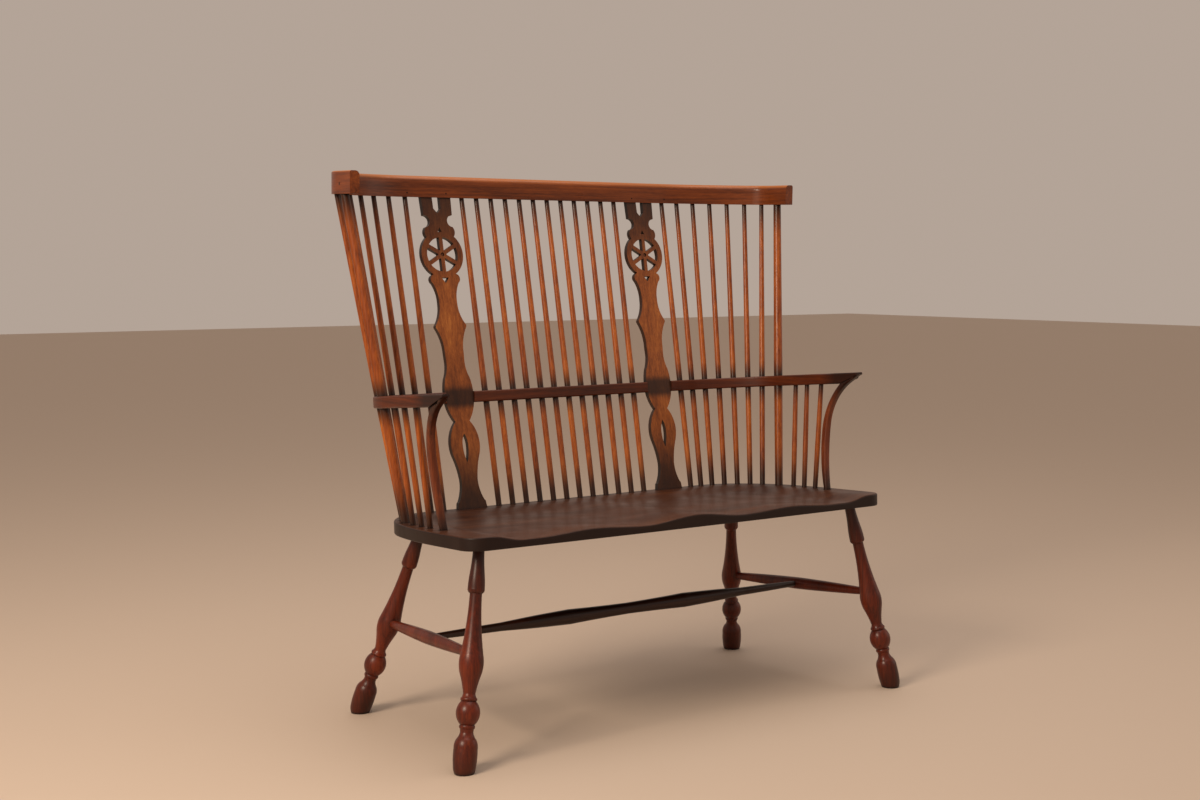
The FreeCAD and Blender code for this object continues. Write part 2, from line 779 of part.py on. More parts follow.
# The crossbar's turning: (part, side of its middle, bulge since the part before)
CROSSBAR = [("neck", -1, 0.3), ("swell", -1, 0.8), ("waist", 0, -0.6), ("swell", 1, -0.6),
            ("neck", 1, 0.8)]
CROSSBAR_TIP_BULGE = 0.3
stretchers, stretcher_middles = {}, {}
for side in SIDES:
    rear = on_leg("rear", side, size("stretcher_rear_height"))
    front = on_leg("front", side, size("stretcher_front_height"))
    way = (front - rear).normalize() * size("stretcher_gap")
    length = (front - rear).Length - 2 * size("stretcher_gap")
    swell = size("stretcher_belly_radius") - size("stretcher_end_radius")
    bulge = swell * STRETCHER_FULLNESS
    stations = [((0.0, "0"), "stretcher_end_radius", 0),
                ((length / 2, str(length / 2)), "stretcher_belly_radius", bulge),
                ((length, str(length)), "stretcher_end_radius", bulge)]
    stretchers[side] = turned(f"stretcher_{side}_blank", along(rear + way, front), stations)
    stretcher_middles[side] = (rear + front) / 2

ends = [stretcher_middles[side] for side in SIDES]
inset = size("stretcher_belly_radius") - size("crossbar_joint_depth")
crossbar_start = ends[0] + Vector(inset, 0, 0)
length = (ends[1] - ends[0]).Length - 2 * inset
half = length / 2
crossbar_stations = [((0.0, "0"), "crossbar_tip_radius", 0)]
for part, sign, bulge in CROSSBAR:
    place = half + sign * (size(f"crossbar_{part}_place") if sign else 0)
    text = f"{half} + {sign} * {cell(f'crossbar_{part}_place')}" if sign else str(half)
    crossbar_stations.append(((place, text), f"crossbar_{part}_radius", bulge))
crossbar_stations.append(((length, str(length)), "crossbar_tip_radius", CROSSBAR_TIP_BULGE))
crossbar = turned("stretcher_centre", along(crossbar_start, ends[1]), crossbar_stations)
node(crossbar, "stretcher_centre")

for side in SIDES:
    node(carved(stretchers[side], [crossbar], f"stretcher_{side}"), f"stretcher_{side}")
    for end in ("front", "rear"):
        name = f"leg_{end}_{side}"
        node(carved(legs[end, side], [ground, stretchers[side]], name), name)


# Arm bow: one bent rail, square with eased edges, thinned towards the ends of the arms

def band(prefix, half, end_y, end_half):
    """The closed outline of a bent rail of a half width, with another one at its ends."""
    outer = trail(prefix, half)
    outer.append(tail(outer, end_y, end_half - half))
    inner = trail(prefix, -half)
    inner.append(tail(inner, end_y, half - end_half))
    end = line(outer[-1][0][-1], inner[-1][0][-1])
    back, front = outer[0][0][1], inner[0][0][1]
    back_line = line(Vector(-back.x, back.y, 0), back)
    front_line = line(front, Vector(-front.x, front.y, 0))
    return ([back_line] + outer[1:] + [end] + backwards(inner[1:]) + [front_line]
            + mirrored(backwards(inner[1:])) + mirrored([end]) + mirrored(outer[1:]))


def lowered(steps, frame):
    """The steps in the frame of a tilted plane, true at their first point and unstretched."""
    back = steps[0][0][0].y
    shift = (back - frame.Base.y) / math.cos(frame.Rotation.Angle) - back
    return [([p + Vector(0, shift, 0) for p in points], text) for points, text in steps]


bow_blank = body("arm_bow_blank", BOW)
bow_outline = sketch_on(bow_blank, "XY_Plane", "arm_bow_outline")
draw(bow_outline, lowered(band("bow", size("bow_width") / 2, FRONT, size("bow_tip_width") / 2), BOW))
pad(bow_blank, bow_outline, cell("bow_thickness"), down=True)
round_edges(bow_blank, "bow_arris", lambda edge: edge.Length > size("bow_width") and (
    level(edge, 0) or level(edge, -size("bow_thickness"))))


# Comb: a deep bent rail whose front top edge is rolled over, most in the middle

comb_blank = body("comb_blank", COMB)
comb_outline = sketch_on(comb_blank, "XY_Plane", "comb_outline")
comb_half = size("comb_thickness") / 2
draw(comb_outline, lowered(band("comb", comb_half, depth("comb_end"), comb_half), COMB))
pad(comb_blank, comb_outline, cell("comb_depth"))
doc.recompute()

# Edges shorter than this lie at the comb's ends
COMB_SHORT_EDGE = 30.0
# How near to the inner line an edge of the comb's inner side lies
COMB_INNER_GAP = 3.0
inner_steps = trail("comb", -comb_half)
inner_line = polyline(inner_steps + [tail(inner_steps, depth("comb_end"))])


def comb_roll(point):
    """The radius of the rolled front edge at a place along the comb."""
    reach = min(1.0, max(0.0, -point.y / (depth("comb_back") - depth("comb_end"))))
    return size("comb_middle_round") + (size("comb_end_round") - size("comb_middle_round")) * reach


def is_inner(edge):
    """Whether a top edge of the comb is on its inner side."""
    place = edge.valueAt((edge.FirstParameter + edge.LastParameter) / 2) + COMB.Base
    place = Vector(abs(place.x), place.y, 0)
    return min(place.distanceToPoint(point) for point in inner_line) < COMB_INNER_GAP


def crosses_end(edge):
    """Whether a top edge of the comb lies across one of its ends."""
    first, last = edge.valueAt(edge.FirstParameter), edge.valueAt(edge.LastParameter)
    sideways = abs(abs(first.x) - abs(last.x)) > comb_half
    return sideways and abs(first.y - last.y) < 1e-3 and edge.Length < COMB_SHORT_EDGE


rolled = doc.addObject("Part::Fillet", "comb_rolled")
rolled.Base = comb_blank
roll_edges = []
for index, edge in enumerate(comb_blank.Tip.Shape.Edges, start=1):
    if not level(edge, size("comb_depth")) or crosses_end(edge):
        continue
    if is_inner(edge):
        first, last = edge.valueAt(edge.FirstParameter), edge.valueAt(edge.LastParameter)
        roll_edges.append((index, comb_roll(first), comb_roll(last)))
    elif edge.Length > COMB_SHORT_EDGE:
        roll_edges.append((index, size("comb_rear_round"), size("comb_rear_round")))
rolled.Edges = roll_edges


# Nails through the front of the comb, one a splat and one over each first side stick

pins = []
for side in SIDES:
    places = [Vector(size("pin_splat_place"), depth("comb_back"), 0),
              point_along(comb_line, size("side_first_comb"))]
    for place in places:
        pin = doc.addObject("Part::Cylinder", f"pin_{side}_{len(pins)}")
        pin.setExpression("Radius", cell("pin_radius"))
        pin.setExpression("Height", cell("pin_length"))
        head = on_plane(COMB, on_side(place, side)) + Vector(0, -comb_half - size("pin_head"),
                                                             size("pin_rise"))
        pin.Placement = Placement(head, Rotation(UP, Vector(0, 1, 0)))
        pins.append(pin)
pin_set = doc.addObject("Part::Compound", "comb_pins")
pin_set.Links = pins
node(pin_set, "comb_pins")


# Joinery: sockets, mortises and notches are cut with the pieces that they hold

for side in SIDES:
    name = f"spindle_{side}_1"
    node(carved(first_side_sticks[side], [pin_set], name), name)
    name = f"splat_{side}"
    node(carved(splats[side], [pin_set], name), name)

back_sticks = middle_sticks + side_sticks + posts + list(first_side_sticks.values())
node(carved(bow_blank, back_sticks + short_sticks + notches + scarf_blocks, "arm_bow"), "arm_bow")
node(carved(rolled, back_sticks + list(splats.values()) + [pin_set], "comb"), "comb")


# Seat: a plank shaped to the line of the sticks, saddled for the sitters, bored for the rest

def smooth(value):
    """Eases from 0 to 1 as the value goes from 0 to 1."""
    value = min(1.0, max(0.0, value))
    return value * value * (3 - 2 * value)


def eased(value, places):
    """Follows (place, height) pairs smoothly and stays level past the last."""
    for (start, low), (end, high) in zip(places, places[1:]):
        if value <= end:
            return low + (high - low) * smooth((value - start) / (end - start))
    return places[-1][1]


# Places along the seat, from its middle, where a sitter's thighs and pommel lie
INNER_THIGH, POMMEL, OUTER_THIGH = 130.0, 265.0, 390.0
# Shares of the full depth at the back: on the ridge between the sitters, and beside it
REAR_RIDGE, REAR_HOLLOW, REAR_HOLLOW_PLACE = 0.35, 0.9, 110.0


def saddle(x, y):
    """How deep the seat is hollowed at a place, for two sitters with a ridge between them."""
    deep, pommel = size("saddle_hip_depth"), size("saddle_pommel_depth")
    front = eased(abs(x), [(0, 0), (INNER_THIGH, deep), (POMMEL, pommel), (OUTER_THIGH, deep)])
    rear = eased(abs(x), [(0, REAR_RIDGE * deep), (REAR_HOLLOW_PLACE, REAR_HOLLOW * deep)])
    share = smooth((y - depth("seat_front")) / (depth("seat_reference") - depth("seat_front")))
    inside = min(math.hypot(abs(x) - p.x, y - p.y) for p in seat_line)
    rim = smooth((inside - size("saddle_margin")) / size("saddle_slope"))
    return rim * (front + (rear - front) * share)


def seat_outline():
    """The closed outline of the seat: the stick line's margin, flared ends and a bowed front."""
    first_turn, flare = size("seat_bend_one_angle"), size("seat_flare_angle")
    outer = trail("seat", size("seat_margin"), [
        ("seat_bend_one", first_turn), ("seat_bend_two", 90 - first_turn - flare),
        ("seat_flare_radius", flare)])
    end = outer[-1][0][-1]
    corner, front = size("seat_corner_radius"), depth("seat_front") + size("seat_front_bow")
    corner_centre = Vector(end.x - corner, front + corner, 0)
    low = Vector(corner_centre.x, front, 0)
    outer.append(line(end, Vector(end.x, corner_centre.y, 0)))
    outer.append(([Vector(end.x, corner_centre.y, 0),
                   corner_centre + Vector(corner, -corner, 0) * math.sqrt(0.5), low],
                  cell("seat_corner_radius")))
    back = line(Vector(-outer[0][0][1].x, outer[0][0][1].y, 0), outer[0][0][1])
    front_edge = ([low, Vector(0, depth("seat_front"), 0), Vector(-low.x, low.y, 0)], None)
    return [back] + outer[1:] + [front_edge] + mirrored(outer[1:])


plank = body("seat_plank", SEAT * Placement(Vector(0, 0, -size("seat_thickness")), Rotation()))
plank_outline = sketch_on(plank, "XY_Plane", "seat_outline")
draw(plank_outline, lowered(seat_outline(), SEAT))
pad(plank, plank_outline, f"{cell('seat_thickness')} + {cell('seat_allowance')}")
round_edges(plank, "seat_bottom_arris", lambda edge: level(edge, 0))

SADDLE_GRID = 18.0
SADDLE_CLEARANCE = 30.0
half_length = max(point.x for points, _ in seat_outline() for point in points) + SADDLE_GRID
columns = math.ceil(half_length / SADDLE_GRID)
rows = math.ceil((depth("seat_back") - depth("seat_front") + 4 * SADDLE_GRID) / SADDLE_GRID)
grid = []
for column in range(-columns, columns + 1):
    x = column * SADDLE_GRID
    ys = [depth("seat_front") - SADDLE_GRID + row * SADDLE_GRID for row in range(rows)]
    grid.append([Vector(x, y - SEAT.Base.y, -saddle(x, y)) for y in ys])
top = Part.BSplineSurface()
top.interpolate(grid)
scoop = doc.addObject("Part::Feature", "seat_scoop")
scoop.Shape = top.toShape().extrude(Vector(0, 0, SADDLE_CLEARANCE))
scoop.Placement = SEAT
saddled = carved(plank, [scoop], "seat_saddled")
doc.recompute()

eased_seat = doc.addObject("Part::Fillet", "seat_eased")
eased_seat.Base = saddled
rim_edges = []
for index, edge in enumerate(saddled.Shape.Edges, start=1):
    local = [SEAT.inverse().multVec(vertex.Point) for vertex in edge.Vertexes]
    if all(point.z > -size("saddle_hip_depth") - 1 for point in local):
        rim_edges.append((index, size("seat_top_arris"), size("seat_top_arris")))
eased_seat.Edges = rim_edges
doc.recompute()

in_the_seat = back_sticks + short_sticks + list(splats.values()) + list(supports.values())
seat = carved(eased_seat, in_the_seat + list(legs.values()), "seat")
node(seat, "seat")


# Check the model and write each sub-part

doc.recompute()
for thing in doc.Objects:
    wrong = {"Invalid", "Error"} & set(thing.State)
    if wrong:
        raise RuntimeError(f"{thing.Name} is {wrong}")
os.makedirs("parts", exist_ok=True)
bounds = FreeCAD.BoundBox()
for thing in nodes:
    shape = thing.Shape
    if shape.isNull() or not shape.isValid() or shape.Volume <= 0:
        raise RuntimeError(f"{thing.Label} has no sound shape")
    bounds.add(shape.optimalBoundingBox(False))
    shape.exportStep(os.path.join("parts", f"{thing.Label}.step"))
    print(f"{thing.Label}: {len(shape.Solids)} solid, {shape.Volume / 1000:.1f} cm3")
print(f"{len(nodes)} nodes, size {bounds.XLength:.1f} x {bounds.YLength:.1f} x {bounds.ZLength:.1f}")
print(f"X {bounds.XMin:.1f} {bounds.XMax:.1f} Y {bounds.YMin:.1f} {bounds.YMax:.1f}"
      f" Z {bounds.ZMin:.1f} {bounds.ZMax:.1f}")
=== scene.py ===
# %% [markdown]
# # A Windsor settee with a high comb, in stained and polished hardwood
#
# The solids of every stick, leg and rail come from the CAD model and stay exactly where they are.
# This script gives them their wood, eases the parts that a spokeshave would have eased, and sets up
# a pale floor, soft light and a camera. Lengths are in metres unless a comment says millimetres.

# %% Load the joined frame
import math

import bmesh
import bpy
import numpy as np
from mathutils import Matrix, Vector


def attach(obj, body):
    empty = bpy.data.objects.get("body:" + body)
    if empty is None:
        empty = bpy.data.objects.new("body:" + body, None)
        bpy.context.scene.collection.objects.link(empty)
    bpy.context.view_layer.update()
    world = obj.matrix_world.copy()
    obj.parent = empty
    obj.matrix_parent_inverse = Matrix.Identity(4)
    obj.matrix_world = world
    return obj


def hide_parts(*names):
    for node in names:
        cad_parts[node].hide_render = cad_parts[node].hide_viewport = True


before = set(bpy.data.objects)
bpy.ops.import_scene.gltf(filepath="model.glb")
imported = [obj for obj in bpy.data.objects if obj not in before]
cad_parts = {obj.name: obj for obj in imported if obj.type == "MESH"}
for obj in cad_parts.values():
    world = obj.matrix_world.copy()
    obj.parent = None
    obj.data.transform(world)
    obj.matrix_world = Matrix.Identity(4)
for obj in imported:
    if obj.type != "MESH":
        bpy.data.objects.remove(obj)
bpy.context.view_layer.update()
MM = 0.001


# %% [markdown]
# ## Two small helpers for every material
#
# Colours are written as sRGB hex values, the way a paint chart or a colour picker gives them.
# Blender computes with linear light, so one function turns them over. The other helper adds one
# node to a material: numbers and properties are set, and the output of another node is plugged in.

# %% Colour and node helpers
OPAQUE = 1.0


def linear(hex_colour):
    """Linear RGBA of an sRGB hex colour such as #7a4020."""
    channels = [int(hex_colour[i:i + 2], 16) / 255 for i in (1, 3, 5)]
    return [c / 12.92 if c <= 0.04045 else ((c + 0.055) / 1.055) ** 2.4
            for c in channels] + [OPAQUE]


def add_node(tree, kind, settings, output=0):
    """Adds one node with its settings and links, and gives back one of its outputs."""
    made = tree.nodes.new(kind)
    for name, value in settings.items():
        if isinstance(value, bpy.types.NodeSocket):
            tree.links.new(value, made.inputs[name])
        elif name in made.bl_rna.properties.keys():
            setattr(made, name, value)
        else:
            made.inputs[name].default_value = value
    return made.outputs[output] if made.outputs else None


print("a mid brown in linear light:", [round(v, 3) for v in linear("#5d2a16")])


# %% [markdown]
# ## What the grain looks like
#
# Hardwood seen from close by has three sizes of pattern: slow changes of tone over a hand's width,
# growth rings a few millimetres apart, and pores as fine dashes. All three are drawn out along the
# trunk. A Noise texture gives each one if its space is squeezed: its feature is one unit wide, so
# a Mapping node divides the place by the pattern's real size, long along the grain and short
# across it. An image would show its edges on so many pieces, and noise never repeats.

# %% The sizes of the grain
ALONG_X, ALONG_Z = 0, 2
# Millimetres along the grain and across it, fine detail and its roughness, for each pattern
GRAIN = {
    "tone": (320, 46, 2.0, 0.5),
    "rings": (260, 5, 4.0, 0.6),
    "pores": (22, 1.3, 2.0, 0.5),
    "swell": (150, 40, 0.0, 0.5),
}


def squeezed(pattern, axis):
    """The Mapping scale that makes one unit of space one feature of a pattern."""
    along, across = GRAIN[pattern][:2]
    return [1.0 / ((along if index == axis else across) * MM) for index in range(3)]


for pattern, (along, across, detail, roughness) in GRAIN.items():
    print(f"{pattern}: {along} mm along the grain, {across} mm across it")


# %% [markdown]
# ## The finish: stain, shellac and a century of wax
#
# Such a settee is beech and elm, stained red-brown, sealed with shellac and waxed ever since. Stain
# soaks in most where the grain is open and where wax and dust settle, so joints and grooves are
# almost black, and hands and cloths have worn the proud places back to honey. One function builds
# that stack for every piece: only its tones, its grain direction and its wear differ, and some of
# these wear layers also paint in highlight and shade. Ambient occlusion finds the corners that a
# cloth can't reach and darkens them, partly for the wax and dust there and partly as painted shade;
# it depends on the shape alone.

# %% One function for the whole finish
# Shellac is near 1.5 and wood near 1.46. Both are set lower, to match how little haze the old,
# worn polish has.
POLISH_IOR, WOOD_IOR = 1.45, 1.36
# Painted shade: the colour that enclosed corners are darkened to, for the wax and dust there and
# for their shade
DIRT_AND_SHADE = "#100604"
# Where the darkest to the palest tone lie on the grain's range
TONE_STOPS = (0.30, 0.44, 0.56, 0.72)
RING_SHARE, PORE_SHARE = 0.5, 0.22
# Openness at which a corner is darkest and at which it is open, and how dark it gets, as dirt
# and painted shade together
CORNER_FULL, CORNER_OPEN, MOST_DIRT_AND_SHADE = 0.35, 0.95, 0.92
# How much rougher dirt is, and how far handling changes the gloss, over patches of some 70 mm
DIRT_ROUGHNESS, GLOSSIER, DULLER, PATCHES_A_METRE = 0.25, 0.06, 0.10, 14.0
# Heights in millimetres: the waves that a shave leaves, and the open grain
WAVE_HEIGHT, GRAIN_HEIGHT = 0.4, 0.05


def polished_wood(name, tones, axis=ALONG_Z, follows_bend=False, wear=None, gloss=0.34,
                  dark_corner_reach=9.0, coat=0.15):
    """Stained hardwood under worn shellac.

    The tones go from the darkest streak to the palest, wear is a function that lays more colour
    over the wood, as wear and in places as painted light and shade, gloss is the middle roughness,
    the dark corner reach says how many millimetres from a corner the dirt and painted shade lie,
    and coat how much polish is left.
    """
    material = bpy.data.materials.new(name)
    material.use_nodes = True
    tree = material.node_tree
    tree.nodes.clear()
    room = add_node(tree, "ShaderNodeTexCoord", {}, "Object")
    place = room
    if follows_bend:
        place = add_node(tree, "ShaderNodeAttribute", {"attribute_name": "grain"}, "Vector")

    streaks = {}
    for pattern, (_, _, detail, roughness) in GRAIN.items():
        vector = add_node(tree, "ShaderNodeMapping",
                          {"Vector": place, "Scale": squeezed(pattern, axis)})
        streaks[pattern] = add_node(tree, "ShaderNodeTexNoise",
                                    {"Vector": vector, "Scale": 1.0, "Detail": detail,
                                     "Roughness": roughness}, "Fac")
    mottled = add_node(tree, "ShaderNodeMix", {0: RING_SHARE, 2: streaks["tone"],
                                               3: streaks["rings"]})
    dashed = add_node(tree, "ShaderNodeMix", {0: PORE_SHARE, 2: mottled, 3: streaks["pores"]})
    grain = tree.nodes.new("ShaderNodeValToRGB")
    tree.links.new(dashed, grain.inputs["Fac"])
    stops = grain.color_ramp.elements
    while len(stops) < len(tones):
        stops.new(0.5)
    for stop, position, tone in zip(stops, TONE_STOPS, tones):
        stop.position, stop.color = position, linear(tone)
    colour = wear(tree, grain.outputs["Color"]) if wear else grain.outputs["Color"]

    # Painted shade: ambient occlusion darkens corners, grooves and joints, partly for the wax and
    # dust in them and partly for their shade
    corners = add_node(tree, "ShaderNodeAmbientOcclusion",
                       {"samples": 8, "Distance": dark_corner_reach * MM}, "AO")
    grime_and_shade = add_node(tree, "ShaderNodeMapRange", {"Value": corners, "From Min": CORNER_FULL,
                                                  "From Max": CORNER_OPEN,
                                                  "To Min": MOST_DIRT_AND_SHADE, "To Max": 0.0})
    colour = add_node(tree, "ShaderNodeMix", {"data_type": "RGBA", 0: grime_and_shade, 6: colour,
                                              7: linear(DIRT_AND_SHADE)}, 2)

    handled = add_node(tree, "ShaderNodeTexNoise",
                       {"Vector": room, "Scale": PATCHES_A_METRE, "Detail": 3.0}, "Fac")
    rough = add_node(tree, "ShaderNodeMapRange", {"Value": handled, "From Min": 0.25,
                                                  "From Max": 0.75, "To Min": gloss - GLOSSIER,
                                                  "To Max": gloss + DULLER})
    rough = add_node(tree, "ShaderNodeMath", {"operation": "MULTIPLY_ADD", 0: grime_and_shade,
                                              1: DIRT_ROUGHNESS, 2: rough})
    swell = add_node(tree, "ShaderNodeBump", {"Strength": 0.3, "Distance": WAVE_HEIGHT * MM,
                                              "Height": streaks["swell"]})
    relief = add_node(tree, "ShaderNodeBump", {"Strength": 0.5, "Distance": GRAIN_HEIGHT * MM,
                                               "Height": dashed, "Normal": swell})
    shader = add_node(tree, "ShaderNodeBsdfPrincipled",
                      {"Base Color": colour, "Roughness": rough, "Normal": relief,
                       "IOR": WOOD_IOR, "Coat Weight": coat, "Coat Roughness": 0.2,
                       "Coat IOR": POLISH_IOR, "Coat Normal": swell})
    add_node(tree, "ShaderNodeOutputMaterial", {"Surface": shader})
    return material


def dress(material, nodes):
    """The material as the only one of each of these solids."""
    for name in nodes:
        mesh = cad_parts[name].data
        mesh.materials.clear()
        mesh.materials.append(material)
    print(material.name, "on", len(nodes), "pieces")


def named(*starts):
    """The names of the CAD nodes that begin so."""
    return sorted(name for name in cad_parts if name.startswith(starts))


# %% [markdown]
# ## The seat: one elm plank, saddled with an adze
#
# The plank's grain runs along the bench. Sitters have worn its top to a plain mid brown, and its
# edge, which faces sideways, gets painted shade that makes it nearly black. The face that looks up
# is told from the edge by the Normal: its upward part is near one on top and near nothing on the
# edge.

# %% Seat plank
EDGE_FROM, TOP_FROM, MOST_EDGE_SHADE = 0.45, 0.95, 0.92


def shaded_plank_edge(tree, colour):
    """Painted shade wherever the plank doesn't face up."""
    normal = add_node(tree, "ShaderNodeNewGeometry", {}, "Normal")
    upwards = add_node(tree, "ShaderNodeSeparateXYZ", {"Vector": normal}, "Z")
    # Painted shade: the sideways-facing edge is mixed towards near black
    edge = add_node(tree, "ShaderNodeMapRange", {"Value": upwards, "From Min": EDGE_FROM,
                                                 "From Max": TOP_FROM, "To Min": MOST_EDGE_SHADE,
                                                 "To Max": 0.0})
    return add_node(tree, "ShaderNodeMix", {"data_type": "RGBA", 0: edge, 6: colour,
                                            7: linear("#140502")}, 2)


seat_elm = polished_wood("elm plank, saddled, stained and waxed",
                         ("#200c04", "#381a0a", "#48250f", "#603618"), axis=ALONG_X, wear=shaded_plank_edge,
                         gloss=0.42, dark_corner_reach=14.0, coat=0.04)
dress(seat_elm, ["seat"])


# %% [markdown]
# ## Bent rails: the comb and the arm bow
#
# Both rails were steamed and bent round a form, so their grain follows the bend. A pattern on plain
# Object coordinates would cut straight across the arms. Each vertex therefore gets an attribute
# that says how far along the rail it lies, how far off its middle line and how high: the grain of
# the unbent stick. The middle line is the one in the CAD model, a straight back and two arcs.

# %% Distance along each bent rail
BOW_BEND = {"back": 213.2, "straight": 364.1, "arcs": ((184.1, 53.4), (161.6, 35.1)), "tail": 160.0}
COMB_BEND = {"back": 301.1, "straight": 349.5, "arcs": ((299.5, 47.5), (73.2, 42.5)), "tail": 60.0}


def middle_line(bend, step=4.0):
    """Points in metres along the right half of a rail's middle line, and their distances."""
    points, place, heading = [(0.0, bend["back"])], [bend["straight"], bend["back"]], 0.0
    points += [(x, bend["back"]) for x in np.arange(step, bend["straight"], step)]
    for radius, angle in bend["arcs"]:
        centre = (place[0] - radius * math.sin(heading), place[1] - radius * math.cos(heading))
        for turn in np.arange(0, math.radians(angle), step / radius):
            way = heading + turn
            points.append((centre[0] + radius * math.sin(way), centre[1] + radius * math.cos(way)))
        heading += math.radians(angle)
        place = [centre[0] + radius * math.sin(heading), centre[1] + radius * math.cos(heading)]
    points += [(place[0] + t * math.cos(heading), place[1] - t * math.sin(heading))
               for t in np.arange(0, bend["tail"], step)]
    line = np.array(points) * MM
    lengths = np.concatenate(([0.0], np.cumsum(np.linalg.norm(np.diff(line, axis=0), axis=1))))
    return line, lengths


def unbend(name, bend):
    """Writes where each vertex of a rail would be if the rail were straight."""
    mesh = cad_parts[name].data
    flat = np.empty(len(mesh.vertices) * 3)
    mesh.vertices.foreach_get("co", flat)
    place = flat.reshape(-1, 3)
    line, lengths = middle_line(bend)
    half = np.column_stack((np.abs(place[:, 0]), place[:, 1]))
    nearest = np.array([np.argmin(((line - p) ** 2).sum(1)) for p in half])
    ahead = np.gradient(line, axis=0)
    ahead /= np.linalg.norm(ahead, axis=1)[:, None]
    off = half - line[nearest]
    along = lengths[nearest] + (off * ahead[nearest]).sum(1)
    across = off[:, 0] * ahead[nearest, 1] - off[:, 1] * ahead[nearest, 0]
    grain = np.column_stack((along * np.sign(place[:, 0]), across, place[:, 2]))
    attribute = mesh.attributes.new("grain", "FLOAT_VECTOR", "POINT")
    attribute.data.foreach_set("vector", grain.astype(np.float32).ravel())
    print(name, "unbent is", round(2 * float(along.max()), 3), "m long")


unbend("arm_bow", BOW_BEND)
unbend("comb", COMB_BEND)


# %% Comb and bow finishes
# Along Y, where the soiled end of an arm begins and where it is darkest
ARM_DARK_FROM, ARM_DARK_TO = -0.085, -0.13


def rubbed_and_lit_crest(tint, share, low, high):
    """A tint over what looks up, partly the rub of hands and cloths and partly a painted highlight.
    """
    def wear(tree, colour):
        normal = add_node(tree, "ShaderNodeNewGeometry", {}, "Normal")
        upwards = add_node(tree, "ShaderNodeSeparateXYZ", {"Vector": normal}, "Z")
        crest = add_node(tree, "ShaderNodeMapRange", {"Value": upwards, "From Min": low,
                                                      "From Max": high, "To Max": share})
        return add_node(tree, "ShaderNodeMix", {"data_type": "RGBA", 0: crest, 6: colour,
                                                7: linear(tint)}, 2)
    return wear


def handled_bow(tree, colour):
    """The bow's top, lighter for wear and for painted highlight, and its arm ends, almost black
    where hands have rested.
    """
    colour = rubbed_and_lit_crest("#5a2c16", 0.4, 0.5, 0.95)(tree, colour)
    room = add_node(tree, "ShaderNodeTexCoord", {}, "Object")
    forward = add_node(tree, "ShaderNodeSeparateXYZ", {"Vector": room}, "Y")
    tip = add_node(tree, "ShaderNodeMapRange", {"Value": forward, "From Min": ARM_DARK_FROM,
                                                "From Max": ARM_DARK_TO, "To Max": 0.8})
    return add_node(tree, "ShaderNodeMix", {"data_type": "RGBA", 0: tip, 6: colour,
                                            7: linear("#160a07")}, 2)


# The comb's honey tint on what looks up is partly wear and partly a painted highlight from above.
comb_ash = polished_wood("ash comb, steam bent, stained and shellacked",
                         ("#2c1206", "#57270d", "#783a15", "#9e5722"), axis=ALONG_X,
                         follows_bend=True, wear=rubbed_and_lit_crest("#bb6c2c", 0.75, 0.25, 0.8),
                         gloss=0.32)
bow_ash = polished_wood("ash arm bow, steam bent, stained and shellacked",
                        ("#1e0a03", "#401908", "#57240b", "#743a14"), axis=ALONG_X,
                        follows_bend=True, wear=handled_bow, gloss=0.34)
dress(comb_ash, ["comb"])
dress(bow_ash, ["arm_bow"])


# %% [markdown]
# ## Turned sticks: worn bright between their joints
#
# Every stick is turned beech. A cloth reaches its middle but not its ends, so it is orange-brown
# there and nearly black at the seat, under and over the bow, and under the comb. Height alone tells
# these places, if the height is measured from the bow's own sloping plane.

# %% Turned sticks
SEAT_TOP, COMB_UNDERSIDE = 0.447, 1.113
BOW_FRONT, BOW_HEIGHT, BOW_SLOPE = -0.2068, 0.708, math.tan(math.radians(4.69))
# How far over and under its middle the bow hides a stick
BOW_HALF = 0.012


def dark_at_joints(reach_seat, reach_bow, reach_comb, amount, dark="#150905"):
    """A wear that darkens a stick near the seat, the bow and the comb, by reaches in metres."""
    def wear(tree, colour):
        room = add_node(tree, "ShaderNodeTexCoord", {}, "Object")
        height = add_node(tree, "ShaderNodeSeparateXYZ", {"Vector": room}, "Z")
        depth = add_node(tree, "ShaderNodeSeparateXYZ", {"Vector": room}, "Y")
        over = add_node(tree, "ShaderNodeMath", {"operation": "MULTIPLY_ADD", 0: depth,
                                                 1: BOW_SLOPE, 2: height})
        over = add_node(tree, "ShaderNodeMath", {"operation": "SUBTRACT", 0: over,
                                                 1: BOW_HEIGHT + BOW_FRONT * BOW_SLOPE})
        from_bow = add_node(tree, "ShaderNodeMath", {"operation": "ABSOLUTE", 0: over})
        clean = 1.0
        for value, near, far in ((height, SEAT_TOP, SEAT_TOP + reach_seat),
                                 (height, COMB_UNDERSIDE, COMB_UNDERSIDE - reach_comb),
                                 (from_bow, BOW_HALF, BOW_HALF + reach_bow)):
            share = add_node(tree, "ShaderNodeMapRange",
                             {"interpolation_type": "SMOOTHSTEP", "Value": value,
                              "From Min": near, "From Max": far})
            clean = add_node(tree, "ShaderNodeMath", {"operation": "MULTIPLY", 0: clean, 1: share})
        darkened = add_node(tree, "ShaderNodeMapRange", {"Value": clean, "To Min": amount,
                                                       "To Max": 0.0})
        return add_node(tree, "ShaderNodeMix", {"data_type": "RGBA", 0: darkened, 6: colour,
                                                7: linear(dark)}, 2)
    return wear


stick_beech = polished_wood("beech sticks, turned, stained and shellacked",
                            ("#4f210b", "#833e15", "#a6571d", "#c6752d"),
                            wear=dark_at_joints(0.085, 0.050, 0.09, 0.92), gloss=0.34)
dress(stick_beech, named("spindle", "short_spindle", "post"))


# %% [markdown]
# ## Splats: fretted from board
#
# A splat is sawn from one board with a fret saw. Its face shows long grain, palest halfway up,
# where cloths rubbed it. The sawn edges are partly end grain, which drinks stain and stays dark. An
# edge is where the Normal has little of the board's own facing, which is nearly along Y.

# %% Fretted splats
SAWN_UP_TO, FACE_FROM = 0.55, 0.9


